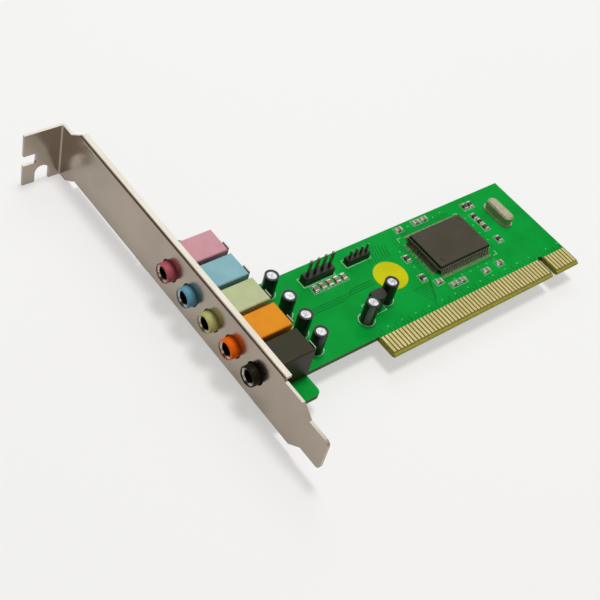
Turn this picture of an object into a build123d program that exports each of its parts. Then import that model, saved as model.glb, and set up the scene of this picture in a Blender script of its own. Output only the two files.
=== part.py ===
"""PCI sound card with five colour-coded jacks, lying component side up.

X runs from the bracket into the card, Y from the contact edge to the bracket's flange, Z up from the
component face. Places on the card are measured from the bracket's outer face, the end of its tongue and
its lower edge. The origin is the middle of the card's underside. Millimetres.
"""
import os

from build123d import *

# Board
board_thickness = 1.57
board_underside = 2.53
board_gap = 0.34
contact_edge = 17.25
tab_depth = 6.95
tab_margin = 0.84
main_height = 36.75
heel_round = 1.6
inner_round = 1.0
wing_margin = 1.2
wing_spare = 0.4
wing_shoulder = 7.0
wing_bevel = 5.0
bevel_length = 1.0
bevel_depth = 0.4
key_width = 1.9
key_spare = 0.3

# Edge contacts
first_contact = 40.84
contact_pitch = 1.27
contact_width = 0.8
contact_thickness = 0.05
contact_spare = 0.45
long_contact_count = 49
key_contact_count = 2
short_contact_count = 7
end_margin = 0.77

# Jacks
jack_names = ("black", "orange", "green", "blue", "pink")
jack_start = 27.5
jack_width = 8.1
jack_spacing = 1.28
jack_depth = 13.74
jack_gap = 0.2
jack_roof = 2.1
jack_wall = 1.2
jack_front_wall = 2.0
jack_edge = 0.25
nose_radius = 2.85
nose_reach = 2.5
nose_rise = 5.5
nose_edge = 0.25
nose_clearance = 0.4
bore_radius = 1.8
mouth_radius = 2.45
bush_recess = 0.2
bush_rim = 0.4
bush_edge = 0.35
bush_wall = 0.35
bush_tail = 0.8
strip = 0.3
spring_height = 2.4
spring_dip = 0.35
spring_run = 2.0
tip_reach = 8.9
ring_reach = 5.9
lug_reach = 1.1
lug_width = 2.6
lug_height = 4.9
leg_width = 1.1
lead_out = 1.2
slot_clearance = 0.15

# Bracket
bracket_length = 120.02
sheet = 0.86
bend_outer = 0.95
bend_inner = 0.2
lip_width = 2.2
lip_clearance = 3.01
upper_lip_start = 18.2
lower_lip_start = 25.4
lip_relief = 0.6
edge_recess = 0.6
flange_depth = 11.7
flange_width = 18.1
flange_drop = 2.8
upper_neck = 5.4
lower_neck = 3.8
shoulder_run = 4.0
notch_width = 3.4
notch_depth = 3.9
notch_height = 8.9
slot_width = 4.42
slot_depth = 5.4
slot_reach = 5.8
tongue_width = 10.8
tongue_low = 3.7
tongue_length = 7.3
tongue_round = 1.5
taper_run = 3.7

# Tabs and screws that join the board to the bracket
tab_width = 6.0
tab_reach = 10.2
jog_start = 2.4
jog_run = 1.4
screw_reach = 6.3
lower_screw_gap = 3.05
upper_screw_gap = 7.4
screw_radius = 1.5
screw_head_radius = 2.4
screw_head_height = 1.7
screw_tail = 0.5
screw_recess = 0.6
screw_clearance = 0.1

# Electrolytic capacitors
can_radius = 1.87
can_height = 7.15
sleeve_wall = 0.13
sleeve_lip = 0.5
can_lead = 0.45
can_lead_spread = 0.75
row_cap_gap = 7.2
row_cap_shares = (0.168, 0.383, 0.617, 0.879)
contact_cap_places = ((40.9, 6.25), (50.3, 9.4))

# Three-legged regulator
regulator_place = (45.55, 9.1)
regulator_radius = 2.3
regulator_flat = 1.2
regulator_height = 4.6
regulator_standoff = 1.0
regulator_lead = 0.42
regulator_pitch = 1.27

# Pin headers
header_drop = 5.1
pin_count = 4
audio_header_start = 34.2
audio_pitch = 2.54
audio_base_width = 2.5
audio_base_height = 2.5
audio_pin = 0.64
audio_pin_height = 8.2
small_header_start = 49.4
small_pitch = 2.0
small_base_width = 2.0
small_base_height = 2.0
small_pin = 0.5
small_pin_height = 5.0
pin_hole_clearance = 0.08

# Chip
chip_from_end = 33.4
chip_drop = 13.5
chip_length = 20.0
chip_width = 14.0
chip_standoff = 0.15
chip_lower = 1.25
chip_upper = 1.4
chip_draft = 10
dimple_radius = 0.75
dimple_depth = 0.1
dimple_inset = 2.0
lead_pitch = 0.65
lead_width = 0.3
lead_thickness = 0.16
lead_overhang = 1.6
lead_foot = 0.7
long_side_leads = 30
short_side_leads = 20

# Crystal
crystal_from_end = 9.8
crystal_drop = 11.0
crystal_length = 9.9
crystal_width = 3.6
crystal_height = 3.3
crystal_rim = 0.4
crystal_rim_height = 0.45
crystal_edge = 0.45
crystal_lead = 0.4
crystal_lead_spread = 2.44

# Round sticker
sticker_radius = 5.1
sticker_thickness = 0.1
sticker_from_chip = 23.1
sticker_drop = 0.9

# Surface-mount parts, placed from the chip's centre or the audio header
smd_length = 2.0
smd_width = 1.25
smd_height = 0.65
smd_end = 0.4
chip_capacitors = (
    (-9.1, 11.7), (-2.2, 11.7), (0.9, 11.7),
    (-11.8, -9.2), (-8.3, -12.0), (-5.0, -12.0), (4.1, -12.6), (10.0, -12.2),
)
chip_resistors = (
    (-14.6, 1.8), (-15.3, -5.9), (16.2, 5.4), (16.4, 3.05),
    (16.4, 0.7), (16.8, -4.9), (16.4, 9.9), (18.6, 9.9),
)
row_parts = 5
row_pitch = 2.5
row_drop = 3.55

# Sides of the drilled lead holes, and of rounds that lie inside other pieces
hole_side_count = 8
inner_side_count = 24

# Worked-out places
contact_count = long_contact_count + key_contact_count + short_contact_count
board_reach = first_contact + (contact_count - 1) * contact_pitch + end_margin
board_rise = board_underside + board_thickness
board_top = contact_edge + main_height
board_step = contact_edge + tab_depth
tab_start = first_contact - tab_margin
jack_pitch = jack_width + jack_spacing
jack_front = sheet + jack_gap
jack_rear = jack_front + jack_depth
jack_height = nose_rise + nose_radius + jack_roof
jack_rises = [jack_start + i * jack_pitch for i in range(len(jack_names))]
lower_screw = jack_start - jack_width / 2 - lower_screw_gap
upper_screw = jack_rises[-1] + jack_width / 2 + upper_screw_gap
wing_reach = jack_rear + wing_margin
wing_top = upper_screw + tab_width / 2 + wing_spare
bracket_width = board_rise + jack_height + lip_clearance + sheet
chip_place = (board_reach - chip_from_end, board_top - chip_drop)
crystal_place = (board_reach - crystal_from_end, board_top - crystal_drop)
header_rise = board_top - header_drop
lead_drop = board_thickness + lead_out

# Datums: the bracket's outer face, the end of its tongue and its lower edge
face_x = flange_depth - (flange_depth + board_reach) / 2
foot_y = -bracket_length / 2
edge_z = flange_drop
component_z = edge_z + board_rise
solder_z = edge_z + board_underside

component_face = Plane(origin=(face_x, foot_y, component_z))
solder_face = Plane(origin=(face_x, foot_y, solder_z))
plate_face = Plane(origin=(face_x, foot_y, edge_z), x_dir=(0, 1, 0), z_dir=(1, 0, 0))


def section_plane(rise):
    """The plane across the bracket at a height along it: X in, Z up, drawn towards the tongue."""
    return Plane(origin=(face_x, foot_y + rise, edge_z), x_dir=(1, 0, 0), z_dir=(0, -1, 0))


def lip_section(edge, inward):
    """The plate, bend and lip along one long edge of the bracket, seen along the edge."""
    root = edge + inward * (bend_outer + sheet)
    Polygon(
        (0, root),
        (0, edge),
        (lip_width, edge),
        (lip_width, edge + inward * sheet),
        (sheet, edge + inward * sheet),
        (sheet, root),
        align=None,
    )
    fillet(vertices().group_by(Axis.X)[1].sort_by_distance((0, edge))[0], bend_inner)
    fillet(vertices().sort_by_distance((0, edge))[0], bend_outer)


def save(part, label):
    """Name a finished piece and write it out."""
    part.label = label
    export_step(part, f"parts/{label}.step")


os.makedirs("parts", exist_ok=True)

# Slot bracket: one folded pressing
flange_high = flange_width - flange_drop
upper_shoulder = bracket_length - upper_neck - shoulder_run
lower_shoulder = bracket_length - lower_neck - shoulder_run
tongue_high = tongue_low + tongue_width
taper_end = tongue_length + taper_run
tab_low = board_underside - sheet
tab_root = edge_recess + sheet

with BuildPart() as bracket:
    with BuildSketch(plate_face):
        with BuildLine():
            Polyline(
                (0, tongue_low),
                (0, tongue_high),
                (tongue_length, tongue_high),
                (taper_end, bracket_width - bend_outer),
                (upper_shoulder, bracket_width - bend_outer),
                (upper_shoulder, bracket_width),
                (bracket_length - upper_neck, flange_high),
                (bracket_length, flange_high),
                (bracket_length, -flange_drop),
                (bracket_length - lower_neck, -flange_drop),
                (lower_shoulder, 0),
                (lower_shoulder, bend_outer),
                (lower_lip_start, bend_outer),
                (lower_lip_start, edge_recess),
                (taper_end, edge_recess),
                (tongue_length, tongue_low),
                close=True,
            )
        make_face()
        fillet(vertices().group_by(Axis.X)[0], tongue_round)
    extrude(amount=sheet)

    with BuildSketch(section_plane(bracket_length)):
        with Locations((-flange_depth, -flange_drop)):
            Rectangle(flange_depth + sheet, flange_width, align=(Align.MIN, Align.MIN))
        with Locations((-flange_depth, notch_height - flange_drop)):
            Rectangle(2 * notch_depth, notch_width, mode=Mode.SUBTRACT)
        slot_end = slot_depth - slot_width / 2 - flange_drop
        with Locations((-slot_reach, slot_end)):
            Circle(slot_width / 2, mode=Mode.SUBTRACT)
            Rectangle(slot_width, 2 * slot_depth, align=(Align.CENTER, Align.MAX), mode=Mode.SUBTRACT)
    extrude(amount=sheet)
    top_edges = edges().filter_by(Axis.Z).group_by(Axis.Y)
    fillet(top_edges[-1].sort_by(Axis.X)[-1], bend_outer)

    with BuildSketch(section_plane(upper_shoulder)):
        lip_section(bracket_width, -1)
    extrude(amount=upper_shoulder - upper_lip_start)
    with BuildSketch(section_plane(lower_shoulder)):
        lip_section(0, 1)
    extrude(amount=lower_shoulder - lower_lip_start)

    for screw_rise in (lower_screw, upper_screw):
        zone = tab_width + 2 * lip_relief
        with BuildSketch(section_plane(screw_rise + zone / 2)):
            Rectangle(4 * lip_width, 2 * edge_recess)
            with Locations((sheet, 0)):
                Rectangle(2 * lip_width, 2 * tab_root, align=(Align.MIN, Align.CENTER))
        extrude(amount=zone, mode=Mode.SUBTRACT)
        with BuildSketch(section_plane(screw_rise + tab_width / 2)):
            with BuildLine():
                Polyline(
                    (0, edge_recess),
                    (jog_start, edge_recess),
                    (jog_start + jog_run, tab_low),
                    (tab_reach, tab_low),
                    (tab_reach, board_underside),
                    (jog_start + jog_run - sheet / 2, board_underside),
                    (jog_start - sheet / 2, tab_root),
                    (sheet, tab_root),
                    (sheet, 2 * tab_root),
                    (0, 2 * tab_root),
                    close=True,
                )
            make_face()
        extrude(amount=tab_width)

    with BuildSketch(plate_face):
        with Locations(*[(rise, board_rise + nose_rise) for rise in jack_rises]):
            RegularPolygon(nose_radius + nose_clearance, inner_side_count, major_radius=False)
    extrude(amount=sheet, mode=Mode.SUBTRACT)
    with BuildSketch(solder_face):
        with Locations((screw_reach, lower_screw), (screw_reach, upper_screw)):
            RegularPolygon(screw_radius + screw_clearance, inner_side_count)
    extrude(amount=-sheet, mode=Mode.SUBTRACT)
save(bracket.part, "bracket")

with BuildPart() as bracket_screws:
    for screw_rise in (lower_screw, upper_screw):
        with BuildSketch(component_face):
            with Locations((screw_reach, screw_rise)):
                RegularPolygon(screw_head_radius, inner_side_count)
        extrude(amount=screw_head_height, taper=12)
        with BuildSketch(component_face):
            with Locations((screw_reach, screw_rise)):
                RegularPolygon(screw_radius, inner_side_count)
        extrude(amount=-(board_thickness + sheet + screw_tail))
        with BuildSketch(component_face.offset(screw_head_height)):
            with Locations((screw_reach, screw_rise)):
                Rectangle(2 * screw_radius, screw_recess)
                Rectangle(screw_recess, 2 * screw_radius)
        extrude(amount=-screw_head_height / 2, mode=Mode.SUBTRACT)
save(bracket_screws.part, "bracket_screws")

# Jacks, drawn on the bracket's outer face with the mouth's axis at Y = 0
jack_floor = Plane(origin=(face_x, 0, component_z))
jack_mouth = Plane(origin=(face_x, 0, component_z + nose_rise), x_dir=(0, 1, 0), z_dir=(1, 0, 0))
cavity_front = jack_front + jack_front_wall
cavity_rear = jack_rear - jack_wall
cavity_half = jack_width / 2 - jack_wall
cavity_height = nose_rise + bore_radius + bush_wall + slot_clearance
bush_start = bush_recess - nose_reach
bush_end = cavity_front + bush_tail
spring_low = nose_rise - spring_height / 2
tip_wall = strip / 2 - cavity_half
spring_touch = bore_radius - spring_dip
tip_leg = cavity_rear - leg_width
ring_leg = tip_leg - 2 * leg_width

with BuildPart() as jack_housing:
    with BuildSketch(jack_floor):
        with Locations((jack_front, 0)):
            Rectangle(jack_depth, jack_width, align=(Align.MIN, Align.CENTER))
    extrude(amount=jack_height)
    chamfer(faces().sort_by(Axis.Z)[-1].edges(), jack_edge)
    with BuildSketch(jack_mouth.offset(-nose_reach)):
        Circle(nose_radius)
    extrude(amount=nose_reach + jack_front)
    chamfer(faces().sort_by(Axis.X)[0].edges(), nose_edge)
    with BuildSketch(jack_floor):
        with Locations((cavity_front, 0)):
            Rectangle(cavity_rear - cavity_front, 2 * cavity_half, align=(Align.MIN, Align.CENTER))
    extrude(amount=cavity_height, mode=Mode.SUBTRACT)
    with BuildSketch(jack_mouth.offset(-nose_reach)):
        RegularPolygon(bore_radius + bush_wall, inner_side_count)
    extrude(amount=nose_reach + cavity_front, mode=Mode.SUBTRACT)
    with BuildSketch(jack_mouth.offset(-nose_reach)):
        RegularPolygon(mouth_radius, inner_side_count)
    extrude(amount=bush_recess + bush_rim, mode=Mode.SUBTRACT)
    with BuildSketch(jack_floor.offset(spring_low - slot_clearance)):
        with Locations((cavity_rear, tip_wall)):
            Rectangle(2 * jack_wall, strip + 2 * slot_clearance)
    extrude(amount=spring_height + 2 * slot_clearance, mode=Mode.SUBTRACT)

with BuildPart() as jack_bush:
    with BuildSketch(jack_mouth.offset(bush_start)):
        RegularPolygon(mouth_radius, inner_side_count)
    extrude(amount=bush_rim)
    with BuildSketch(jack_mouth.offset(bush_start)):
        RegularPolygon(bore_radius + bush_wall, inner_side_count)
    extrude(amount=bush_end - bush_start)
    with BuildSketch(jack_floor.offset(-lead_drop)):
        with Locations((bush_end, 0)):
            Rectangle(bush_wall, leg_width, align=(Align.MAX, Align.CENTER))
    extrude(amount=lead_drop + nose_rise)
    with BuildSketch(jack_mouth.offset(bush_start)):
        Circle(bore_radius)
    extrude(amount=bush_end - bush_start, mode=Mode.SUBTRACT)
    chamfer(edges().filter_by(GeomType.CIRCLE).group_by(Axis.X)[0], bush_edge)

with BuildPart() as jack_tip_spring:
    with BuildSketch(jack_floor.offset(spring_low)):
        with BuildLine():
            Polyline(
                (jack_rear + lug_reach, tip_wall),
                (tip_reach + spring_run, tip_wall),
                (tip_reach, -spring_touch),
                (tip_reach - spring_run, tip_wall + strip),
            )
        trace(line_width=strip)
    extrude(amount=spring_height)
    with BuildSketch(jack_floor.offset(spring_low)):
        with Locations((jack_rear + lug_reach, tip_wall - strip / 2)):
            Rectangle(strip, lug_width, align=(Align.MIN, Align.MIN))
    extrude(amount=lug_height)
    with BuildSketch(jack_floor.offset(-lead_drop)):
        with Locations((tip_leg, tip_wall)):
            Rectangle(leg_width, strip)
    extrude(amount=lead_drop + nose_rise)

with BuildPart() as jack_ring_spring:
    with BuildSketch(jack_floor.offset(spring_low)):
        with BuildLine():
            Polyline(
                (ring_leg + leg_width / 2, -tip_wall),
                (ring_reach + spring_run, -tip_wall),
                (ring_reach, spring_touch),
                (ring_reach - spring_run / 2, -tip_wall - strip),
            )
        trace(line_width=strip)
    extrude(amount=spring_height)
    with BuildSketch(jack_floor.offset(-lead_drop)):
        with Locations((ring_leg, -tip_wall)):
            Rectangle(leg_width, strip)
    extrude(amount=lead_drop + nose_rise)

for colour, rise in zip(jack_names, jack_rises):
    place = Pos(0, foot_y + rise, 0)
    save(place * jack_housing.part, f"{colour}_jack_housing")
    save(place * jack_bush.part, f"{colour}_jack_bush")
    save(place * jack_tip_spring.part, f"{colour}_jack_tip_spring")
    save(place * jack_ring_spring.part, f"{colour}_jack_ring_spring")

# Electrolytic capacitors, drawn on the component face at the origin
cap_floor = Plane(origin=(0, 0, component_z))

with BuildPart() as capacitor_can:
    with BuildSketch(cap_floor):
        RegularPolygon(can_radius, inner_side_count)
    extrude(amount=can_height)
    with BuildSketch(cap_floor):
        with Locations((0, -can_lead_spread), (0, can_lead_spread)):
            Rectangle(can_lead, can_lead)
    extrude(amount=-lead_drop)

with BuildPart() as capacitor_sleeve:
    with BuildSketch(cap_floor):
        Circle(can_radius + sleeve_wall)
    extrude(amount=can_height + sleeve_wall)
    with BuildSketch(cap_floor):
        RegularPolygon(can_radius, inner_side_count)
    extrude(amount=can_height, mode=Mode.SUBTRACT)
    with BuildSketch(cap_floor.offset(can_height)):
        Circle(can_radius - sleeve_lip)
    extrude(amount=sleeve_wall, mode=Mode.SUBTRACT)

strip_height = board_top - board_step
row_cap_places = [(jack_rear + row_cap_gap, board_step + share * strip_height) for share in row_cap_shares]
contact_caps = [(x, board_step + rise) for x, rise in contact_cap_places]
cap_places = row_cap_places + contact_caps
for number, (x, y) in enumerate(cap_places, start=1):
    place = Pos(face_x + x, foot_y + y, 0)
    save(place * capacitor_can.part, f"capacitor_{number}_can")
    save(place * capacitor_sleeve.part, f"capacitor_{number}_sleeve")

# Regulator
regulator_x, regulator_rise = regulator_place
regulator_y = board_step + regulator_rise
regulator_legs = [(regulator_x + i * regulator_pitch, regulator_y) for i in (-1, 0, 1)]

with BuildPart() as regulator_body:
    with BuildSketch(component_face.offset(regulator_standoff)):
        with Locations((regulator_x, regulator_y)):
            Circle(regulator_radius)
        with Locations((regulator_x, regulator_y + regulator_flat)):
            Rectangle(
                2 * regulator_radius, regulator_radius, align=(Align.CENTER, Align.MIN), mode=Mode.SUBTRACT
            )
    extrude(amount=regulator_height)
save(regulator_body.part, "regulator_body")

with BuildPart() as regulator_leads:
    with BuildSketch(component_face.offset(regulator_standoff)):
        with Locations(*regulator_legs):
            Rectangle(regulator_lead, regulator_lead)
    extrude(amount=-(regulator_standoff + lead_drop))
save(regulator_leads.part, "regulator_leads")

# Pin headers
audio_pins = [(audio_header_start + i * audio_pitch, header_rise) for i in range(pin_count)]
small_pins = [(small_header_start + i * small_pitch, header_rise) for i in range(pin_count)]

with BuildPart() as audio_header_base:
    with BuildSketch(component_face):
        with Locations(*audio_pins):
            Rectangle(audio_pitch, audio_base_width)
    extrude(amount=audio_base_height)
    with BuildSketch(component_face):
        with Locations(*audio_pins):
            Rectangle(audio_pin, audio_pin)
    extrude(amount=audio_base_height, mode=Mode.SUBTRACT)
save(audio_header_base.part, "audio_header_base")

with BuildPart() as audio_header_pins:
    with BuildSketch(component_face.offset(-lead_drop)):
        with Locations(*audio_pins):
            Rectangle(audio_pin, audio_pin)
    extrude(amount=lead_drop + audio_pin_height)
save(audio_header_pins.part, "audio_header_pins")

with BuildPart() as small_header_base:
    with BuildSketch(component_face):
        with Locations(*small_pins):
            Rectangle(small_pitch, small_base_width)
    extrude(amount=small_base_height)
    with BuildSketch(component_face):
        with Locations(*small_pins):
            Rectangle(small_pin, small_pin)
    extrude(amount=small_base_height, mode=Mode.SUBTRACT)
save(small_header_base.part, "small_header_base")

with BuildPart() as small_header_pins:
    with BuildSketch(component_face.offset(-lead_drop)):
        with Locations(*small_pins):
            Rectangle(small_pin, small_pin)
    extrude(amount=lead_drop + small_pin_height)
save(small_header_pins.part, "small_header_pins")

# Chip: drafted body moulded round its lead frame, gull-wing leads on all four sides
chip_x, chip_y = chip_place
chip_middle_x = face_x + chip_x
chip_middle_y = foot_y + chip_y
lead_plane_rise = chip_standoff + chip_lower
long_planes = [
    Plane(
        origin=(chip_middle_x + (i - (long_side_leads - 1) / 2) * lead_pitch, chip_middle_y, component_z),
        x_dir=(0, 1, 0),
        z_dir=(1, 0, 0),
    )
    for i in range(long_side_leads)
]
short_planes = [
    Plane(
        origin=(chip_middle_x, chip_middle_y + (i - (short_side_leads - 1) / 2) * lead_pitch, component_z),
        x_dir=(1, 0, 0),
        z_dir=(0, -1, 0),
    )
    for i in range(short_side_leads)
]


def gull_wings(half_span):
    """The pair of lead profiles that leave the body at opposite sides, half_span from its middle."""
    toe = half_span + lead_overhang
    heel = toe - lead_foot
    for side in (-1, 1):
        Polygon(
            (side * half_span, lead_plane_rise),
            (side * heel, 0),
            (side * toe, 0),
            (side * toe, lead_thickness),
            (side * (heel + lead_thickness), lead_thickness),
            (side * half_span, lead_plane_rise + 2 * lead_thickness),
            align=None,
        )


with BuildPart() as chip_body:
    with BuildSketch(component_face.offset(lead_plane_rise)):
        with Locations((chip_x, chip_y)):
            Rectangle(chip_length, chip_width)
    extrude(amount=chip_upper, taper=chip_draft)
    with BuildSketch(component_face.offset(lead_plane_rise)):
        with Locations((chip_x, chip_y)):
            Rectangle(chip_length, chip_width)
    extrude(amount=-chip_lower, taper=chip_draft)
    dimple_x = chip_length / 2 - dimple_inset
    dimple_y = chip_width / 2 - dimple_inset
    with BuildSketch(component_face.offset(lead_plane_rise + chip_upper)):
        with Locations((chip_x - dimple_x, chip_y - dimple_y), (chip_x + dimple_x, chip_y + dimple_y)):
            RegularPolygon(dimple_radius, inner_side_count)
    extrude(amount=-dimple_depth, mode=Mode.SUBTRACT)
save(chip_body.part, "chip_body")

with BuildPart() as chip_leads:
    with BuildSketch(*long_planes):
        gull_wings(chip_width / 2)
    extrude(amount=lead_width / 2, both=True)
    with BuildSketch(*short_planes):
        gull_wings(chip_length / 2)
    extrude(amount=lead_width / 2, both=True)
save(chip_leads.part, "chip_leads")

# Crystal: a drawn can on a rim, its long side along the board's end
crystal_x, crystal_y = crystal_place
crystal_legs = [(crystal_x, crystal_y + side * crystal_lead_spread) for side in (-1, 1)]

with BuildPart() as crystal_can:
    with BuildSketch(component_face):
        with Locations((crystal_x, crystal_y)):
            SlotOverall(crystal_length + 2 * crystal_rim, crystal_width + 2 * crystal_rim, rotation=90)
    extrude(amount=crystal_rim_height)
    with BuildSketch(component_face):
        with Locations((crystal_x, crystal_y)):
            SlotOverall(crystal_length, crystal_width, rotation=90)
    extrude(amount=crystal_height)
    chamfer(faces().sort_by(Axis.Z)[-1].edges(), crystal_edge)
save(crystal_can.part, "crystal_can")

with BuildPart() as crystal_leads:
    with BuildSketch(component_face):
        with Locations(*crystal_legs):
            Rectangle(crystal_lead, crystal_lead)
    extrude(amount=-lead_drop)
save(crystal_leads.part, "crystal_leads")

# Sticker
with BuildPart() as sticker:
    with BuildSketch(component_face):
        with Locations((chip_x - sticker_from_chip, chip_y - sticker_drop)):
            Circle(sticker_radius)
    extrude(amount=sticker_thickness)
save(sticker.part, "sticker")

# Surface-mount parts: bodies between two tinned ends
capacitor_spots = [(chip_x + x, chip_y + y) for x, y in chip_capacitors]
resistor_spots = [(chip_x + x, chip_y + y) for x, y in chip_resistors]
row_start = audio_header_start + audio_base_width / 2 - smd_width / 2
row_spots = [(row_start + i * row_pitch, header_rise - row_drop) for i in range(row_parts)]
smd_middle = smd_length - 2 * smd_end
smd_end_shift = (smd_length - smd_end) / 2

with BuildPart() as smd_capacitors:
    with BuildSketch(component_face):
        with Locations(*capacitor_spots):
            Rectangle(smd_middle, smd_width)
        with Locations(*row_spots):
            Rectangle(smd_width, smd_middle)
    extrude(amount=smd_height)
save(smd_capacitors.part, "smd_capacitors")

with BuildPart() as smd_resistors:
    with BuildSketch(component_face):
        with Locations(*resistor_spots):
            Rectangle(smd_width, smd_middle)
    extrude(amount=smd_height)
save(smd_resistors.part, "smd_resistors")

with BuildPart() as smd_ends:
    with BuildSketch(component_face):
        for side in (-1, 1):
            with Locations(*[(x + side * smd_end_shift, y) for x, y in capacitor_spots]):
                Rectangle(smd_end, smd_width)
            with Locations(*[(x, y + side * smd_end_shift) for x, y in resistor_spots + row_spots]):
                Rectangle(smd_width, smd_end)
    extrude(amount=smd_height)
save(smd_ends.part, "smd_ends")

# Edge contacts on both faces
key_numbers = range(long_contact_count, long_contact_count + key_contact_count)
contact_numbers = [i for i in range(contact_count) if i not in key_numbers]
contact_length = tab_depth - bevel_length - contact_spare
contact_spots = [(first_contact + i * contact_pitch, contact_edge + bevel_length) for i in contact_numbers]

with BuildPart() as front_contacts:
    with BuildSketch(component_face):
        with Locations(*contact_spots):
            Rectangle(contact_width, contact_length, align=(Align.CENTER, Align.MIN))
    extrude(amount=contact_thickness)
save(front_contacts.part, "front_contacts")

with BuildPart() as back_contacts:
    with BuildSketch(solder_face):
        with Locations(*contact_spots):
            Rectangle(contact_width, contact_length, align=(Align.CENTER, Align.MIN))
    extrude(amount=-contact_thickness)
save(back_contacts.part, "back_contacts")

# Circuit board: contact tab, heel under the last jack and a wing beside the bracket that carries the jacks
board_start = sheet + board_gap
key_middle = first_contact + (long_contact_count + (key_contact_count - 1) / 2) * contact_pitch
key_top = board_step + key_spare

with BuildPart() as circuit_board:
    with BuildSketch(component_face):
        with BuildLine():
            Polyline(
                (board_start, contact_edge),
                (jack_rear, contact_edge),
                (jack_rear, board_step),
                (tab_start, board_step),
                (tab_start, contact_edge),
                (board_reach, contact_edge),
                (board_reach, board_top),
                (wing_reach, board_top),
                (wing_reach, wing_top - wing_shoulder),
                (wing_reach - wing_bevel, wing_top - wing_shoulder + wing_bevel),
                (wing_reach - wing_bevel, wing_top),
                (board_start, wing_top),
                close=True,
            )
        make_face()
        heel_corners = vertices().filter_by_position(Axis.X, jack_rear - sheet, jack_rear + sheet)
        fillet(heel_corners.sort_by(Axis.Y)[0], heel_round)
        fillet(heel_corners.sort_by(Axis.Y)[-1], inner_round)
        with Locations((key_middle, key_top - key_width / 2)):
            Circle(key_width / 2, mode=Mode.SUBTRACT)
            Rectangle(key_width, 2 * tab_depth, align=(Align.CENTER, Align.MAX), mode=Mode.SUBTRACT)
        with Locations((screw_reach, lower_screw), (screw_reach, upper_screw)):
            RegularPolygon(screw_radius + screw_clearance, inner_side_count, mode=Mode.SUBTRACT)
        slot_along = leg_width + 2 * slot_clearance
        slot_across = strip + 2 * slot_clearance
        bush_slot = bush_wall + 2 * slot_clearance
        for rise in jack_rises:
            with Locations((tip_leg, rise + tip_wall), (ring_leg, rise - tip_wall)):
                Rectangle(slot_along, slot_across, mode=Mode.SUBTRACT)
            with Locations((bush_end - bush_wall / 2, rise)):
                Rectangle(bush_slot, slot_along, mode=Mode.SUBTRACT)
        cap_legs = [(x, y + side * can_lead_spread) for x, y in cap_places for side in (-1, 1)]
        for legs, lead in (
            (cap_legs, can_lead),
            (crystal_legs, crystal_lead),
            (regulator_legs, regulator_lead),
            (audio_pins, audio_pin),
            (small_pins, small_pin),
        ):
            drill = lead / 2**0.5 + pin_hole_clearance
            with Locations(*legs):
                RegularPolygon(drill, hole_side_count, major_radius=False, mode=Mode.SUBTRACT)
    extrude(amount=-board_thickness)
    tab_face = Plane(
        origin=(face_x + tab_start, foot_y + contact_edge, component_z), x_dir=(0, 1, 0), z_dir=(1, 0, 0)
    )
    with BuildSketch(tab_face):
        with BuildLine():
            Polyline((0, 0), (bevel_length, 0), (0, -bevel_depth), close=True)
        make_face()
        with BuildLine():
            Polyline(
                (0, -board_thickness),
                (bevel_length, -board_thickness),
                (0, bevel_depth - board_thickness),
                close=True,
            )
        make_face()
    extrude(amount=board_reach - tab_start, mode=Mode.SUBTRACT)
save(circuit_board.part, "circuit_board")
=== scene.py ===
"""Looks of a sound card: its finishes, the printed and soldered detail of its board, light and camera.

Metres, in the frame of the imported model: X from the bracket into the card, Y towards the bracket's flange,
Z up, out of the component face.
"""

import math

import bpy
from mathutils import Matrix, Quaternion, Vector


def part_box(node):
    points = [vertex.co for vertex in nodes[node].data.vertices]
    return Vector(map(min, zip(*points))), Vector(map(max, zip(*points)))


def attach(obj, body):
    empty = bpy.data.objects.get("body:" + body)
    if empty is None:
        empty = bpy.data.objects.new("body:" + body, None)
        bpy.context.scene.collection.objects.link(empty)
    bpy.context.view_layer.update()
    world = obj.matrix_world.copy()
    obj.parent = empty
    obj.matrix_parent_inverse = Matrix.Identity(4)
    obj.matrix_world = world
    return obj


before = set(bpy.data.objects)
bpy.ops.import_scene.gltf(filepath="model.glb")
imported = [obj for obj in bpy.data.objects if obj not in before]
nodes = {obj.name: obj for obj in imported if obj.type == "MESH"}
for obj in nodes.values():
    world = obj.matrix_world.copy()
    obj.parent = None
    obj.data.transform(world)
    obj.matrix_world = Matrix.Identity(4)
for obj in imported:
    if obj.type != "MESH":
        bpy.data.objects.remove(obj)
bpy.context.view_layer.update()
mm = 0.001

jack_colours = ("black", "orange", "green", "blue", "pink")
capacitors = [f"capacitor_{number}" for number in range(1, 7)]

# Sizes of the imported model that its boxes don't give
nose_reach = 2.5 * mm
sheet = 0.86 * mm
flange_width = 18.1 * mm

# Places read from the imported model
board_low, board_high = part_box("circuit_board")
contacts_low, contacts_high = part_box("front_contacts")
chip_low, chip_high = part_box("chip_body")
feet_low, feet_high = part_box("chip_leads")
label_low, label_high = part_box("sticker")
header_low, header_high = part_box("audio_header_base")
component_z = board_high.z
solder_z = board_low.z
plate_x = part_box("pink_jack_housing")[0].x + nose_reach
in_plate = plate_x + sheet / 2


# Building blocks of the finishes

def finish(name, metal=0.0, rough=0.5):
    """A new material; returns it with its node tree and its shader."""
    material = bpy.data.materials.new(name)
    material.use_nodes = True
    shader = material.node_tree.nodes["Principled BSDF"]
    shader.inputs["Metallic"].default_value = metal
    shader.inputs["Roughness"].default_value = rough
    return material, material.node_tree, shader


def grain(tree, per_mm, stretch=(1, 1, 1), detail=3.0):
    """Noise that lies still on the piece, with so many bumps to the millimetre."""
    place = tree.nodes.new("ShaderNodeTexCoord")
    mapping = tree.nodes.new("ShaderNodeMapping")
    mapping.inputs["Scale"].default_value = stretch
    noise = tree.nodes.new("ShaderNodeTexNoise")
    noise.inputs["Scale"].default_value = per_mm / mm
    noise.inputs["Detail"].default_value = detail
    tree.links.new(place.outputs["Object"], mapping.inputs["Vector"])
    tree.links.new(mapping.outputs["Vector"], noise.inputs["Vector"])
    return noise.outputs["Fac"]


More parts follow.
